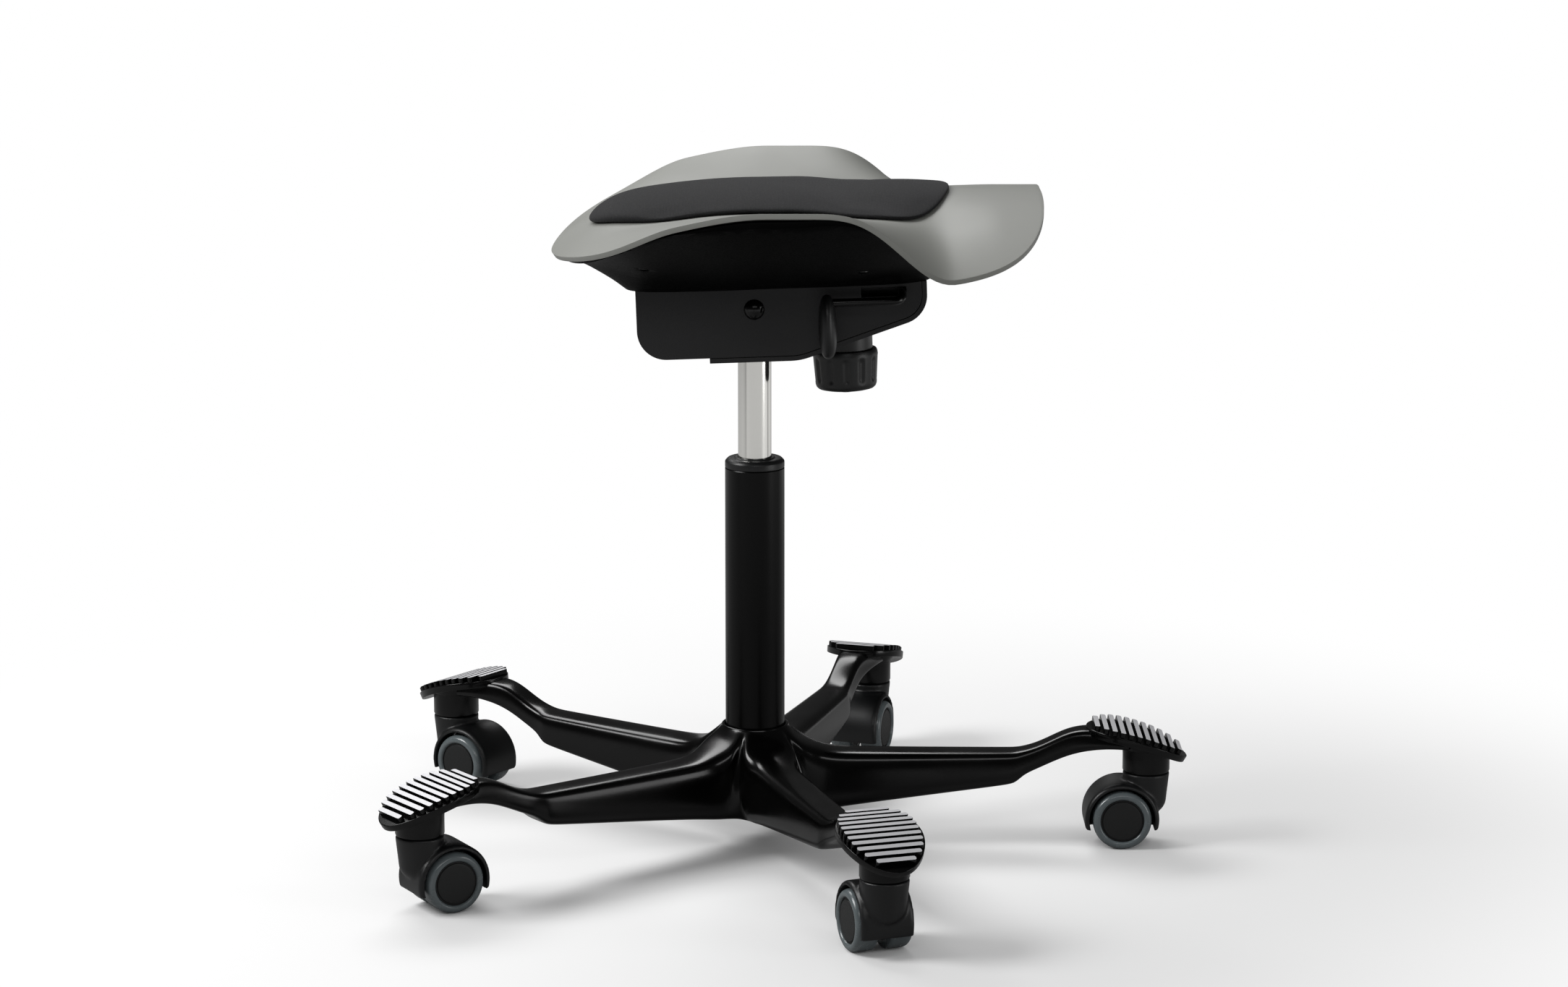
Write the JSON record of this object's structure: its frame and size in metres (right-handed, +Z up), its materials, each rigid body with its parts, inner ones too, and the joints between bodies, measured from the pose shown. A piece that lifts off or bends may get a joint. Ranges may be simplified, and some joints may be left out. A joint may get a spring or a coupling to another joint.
{
  "type": "saddle stool",
  "caption": "Height-adjustable saddle stool: grey saddle shell with a black cushion on a tilt mechanism and gas lift, on a black star base with foot treads and twin-wheel casters.",
  "frame": {"origin": "on the floor, under the axis of the column", "axes": "+X to the front of the seat, +Y to the seat's left side, away from the height lever, +Z up"},
  "size_m": [0.6692, 0.7007, 0.5738],
  "materials": {
    "enamel": "gloss black enamel",
    "bare_ridge": "ground bare",
    "black_tube": "satin black",
    "dark_plastic": "satin",
    "steel": "turned",
    "chrome": "polished",
    "mechanism": "powder coat",
    "black_rod": "gloss",
    "rubber": "matte",
    "soft_tread": "satin",
    "grey_shell": "satin warm grey",
    "black_shell": "matte",
    "cloth": "fine weave"
  },
  "bodies": {
    "base": {"star_base": "enamel", "foot_treads": "bare_ridge", "column_tube": "black_tube", "column_guide": "dark_plastic", "thrust_bearing": "steel", "caster_stems": "steel"},
    "spring_rod": {"piston_rod": "steel", "rod_clip": "steel"},
    "lift": {"pressure_tube": "chrome", "tilt_bracket": "mechanism", "pivot_pins": "black_rod"},
    "valve": {"valve_button": "steel"},
    "seat": {"side_plate_near": "mechanism", "side_plate_far": "mechanism", "bottom_strip": "mechanism", "pivot_bushes": "dark_plastic", "knob_collar": "dark_plastic", "under_shell": "black_shell", "saddle_shell": "grey_shell", "seat_screws": "black_rod", "seat_cushion": "cloth"},
    "knob": {"tension_knob": "dark_plastic", "tension_screw": "steel"},
    "nut": {"tension_nut": "steel", "tension_buffer": "rubber"},
    "height_lever": {"lever_rod": "black_rod", "lever_paddle": "dark_plastic", "release_slide": "dark_plastic"},
    "caster_1": {"caster_hood_1": "dark_plastic", "caster_axle_1": "steel"},
    "wheel_1_near": {"caster_wheel_1_near": "dark_plastic", "caster_tread_1_near": "soft_tread"},
    "wheel_1_far": {"caster_wheel_1_far": "dark_plastic", "caster_tread_1_far": "soft_tread"},
    "caster_2": {"caster_hood_2": "dark_plastic", "caster_axle_2": "steel"},
    "wheel_2_near": {"caster_wheel_2_near": "dark_plastic", "caster_tread_2_near": "soft_tread"},
    "wheel_2_far": {"caster_wheel_2_far": "dark_plastic", "caster_tread_2_far": "soft_tread"},
    "caster_3": {"caster_hood_3": "dark_plastic", "caster_axle_3": "steel"},
    "wheel_3_near": {"caster_wheel_3_near": "dark_plastic", "caster_tread_3_near": "soft_tread"},
    "wheel_3_far": {"caster_wheel_3_far": "dark_plastic", "caster_tread_3_far": "soft_tread"},
    "caster_4": {"caster_hood_4": "dark_plastic", "caster_axle_4": "steel"},
    "wheel_4_near": {"caster_wheel_4_near": "dark_plastic", "caster_tread_4_near": "soft_tread"},
    "wheel_4_far": {"caster_wheel_4_far": "dark_plastic", "caster_tread_4_far": "soft_tread"},
    "caster_5": {"caster_hood_5": "dark_plastic", "caster_axle_5": "steel"},
    "wheel_5_near": {"caster_wheel_5_near": "dark_plastic", "caster_tread_5_near": "soft_tread"},
    "wheel_5_far": {"caster_wheel_5_far": "dark_plastic", "caster_tread_5_far": "soft_tread"}
  },
  "joints": [
    {"name": "seat_swivel", "type": "hinge", "parent": "base", "child": "spring_rod", "pos_m": [0, 0, 0], "axis": [0, 0, 1], "continuous": true},
    {"name": "seat_lift", "type": "slide", "parent": "spring_rod", "child": "lift", "axis": [0, 0, 1], "range_m": [-0.075, 0.125]},
    {"name": "seat_tilt", "type": "hinge", "parent": "lift", "child": "seat", "pos_m": [0, 0, 0.468], "axis": [0, 1, 0], "range_deg": [-4, 6], "stiffness_Nm_per_rad": 120, "deforming": ["tension_buffer"]},
    {"name": "lever_slide", "type": "slide", "parent": "seat", "child": "height_lever", "axis": [0.9994, 0, 0.0349], "range_m": [-0.028, 0], "stiffness_N_per_m": 200},
    {"name": "valve_press", "type": "slide", "parent": "lift", "child": "valve", "axis": [0, 0, 1], "range_m": [-0.004, 0]},
    {"name": "tension_turn", "type": "hinge", "parent": "seat", "child": "knob", "pos_m": [0.0757, 0, 0.42061], "axis": [-0.0349, 0, 0.9994], "range_deg": [-720, 360]},
    {"name": "tension_climb", "type": "slide", "parent": "seat", "child": "nut", "axis": [-0.0349, 0, 0.9994], "range_m": [-0.00126, 0.00251], "deforming": ["tension_buffer"]},
    {"name": "caster_swivel_1", "type": "hinge", "parent": "base", "child": "caster_1", "pos_m": [0.3324, 0, 0.05], "axis": [0, 0, 1], "continuous": true},
    {"name": "wheel_turn_1_near", "type": "hinge", "parent": "caster_1", "child": "wheel_1_near", "pos_m": [0.3114, 0, 0.025], "axis": [0, -1, 0], "continuous": true},
    {"name": "wheel_turn_1_far", "type": "hinge", "parent": "caster_1", "child": "wheel_1_far", "pos_m": [0.3114, 0, 0.025], "axis": [0, -1, 0], "continuous": true},
    {"name": "caster_swivel_2", "type": "hinge", "parent": "base", "child": "caster_2", "pos_m": [0.10272, 0.31613, 0.05], "axis": [0, 0, 1], "continuous": true},
    {"name": "wheel_turn_2_near", "type": "hinge", "parent": "caster_2", "child": "wheel_2_near", "pos_m": [0.09623, 0.29616, 0.025], "axis": [0.9511, -0.309, 0], "continuous": true},
    {"name": "wheel_turn_2_far", "type": "hinge", "parent": "caster_2", "child": "wheel_2_far", "pos_m": [0.09623, 0.29616, 0.025], "axis": [0.9511, -0.309, 0], "continuous": true},
    {"name": "caster_swivel_3", "type": "hinge", "parent": "base", "child": "caster_3", "pos_m": [-0.26892, 0.19538, 0.05], "axis": [0, 0, 1], "continuous": true},
    {"name": "wheel_turn_3_near", "type": "hinge", "parent": "caster_3", "child": "wheel_3_near", "pos_m": [-0.25215, 0.18274, 0.025], "axis": [0.6018, 0.7986, 0], "continuous": true},
    {"name": "wheel_turn_3_far", "type": "hinge", "parent": "caster_3", "child": "wheel_3_far", "pos_m": [-0.25215, 0.18274, 0.025], "axis": [0.6018, 0.7986, 0], "continuous": true},
    {"name": "caster_swivel_4", "type": "hinge", "parent": "base", "child": "caster_4", "pos_m": [-0.26892, -0.19538, 0.05], "axis": [0, 0, 1], "continuous": true},
    {"name": "wheel_turn_4_near", "type": "hinge", "parent": "caster_4", "child": "wheel_4_near", "pos_m": [-0.25073, -0.18488, 0.025], "axis": [-0.5, 0.866, 0], "continuous": true},
    {"name": "wheel_turn_4_far", "type": "hinge", "parent": "caster_4", "child": "wheel_4_far", "pos_m": [-0.25073, -0.18488, 0.025], "axis": [-0.5, 0.866, 0], "continuous": true},
    {"name": "caster_swivel_5", "type": "hinge", "parent": "base", "child": "caster_5", "pos_m": [0.10272, -0.31613, 0.05], "axis": [0, 0, 1], "continuous": true},
    {"name": "wheel_turn_5_near", "type": "hinge", "parent": "caster_5", "child": "wheel_5_near", "pos_m": [0.09553, -0.2964, 0.025], "axis": [-0.9397, -0.342, 0], "continuous": true},
    {"name": "wheel_turn_5_far", "type": "hinge", "parent": "caster_5", "child": "wheel_5_far", "pos_m": [0.09553, -0.2964, 0.025], "axis": [-0.9397, -0.342, 0], "continuous": true}
  ],
  "couplings": [
    {"joint": "valve_press", "follows": "lever_slide", "ratio": 0.14286},
    {"joint": "tension_climb", "follows": "tension_turn", "m_per_rad": -0.00019894}
  ]
}
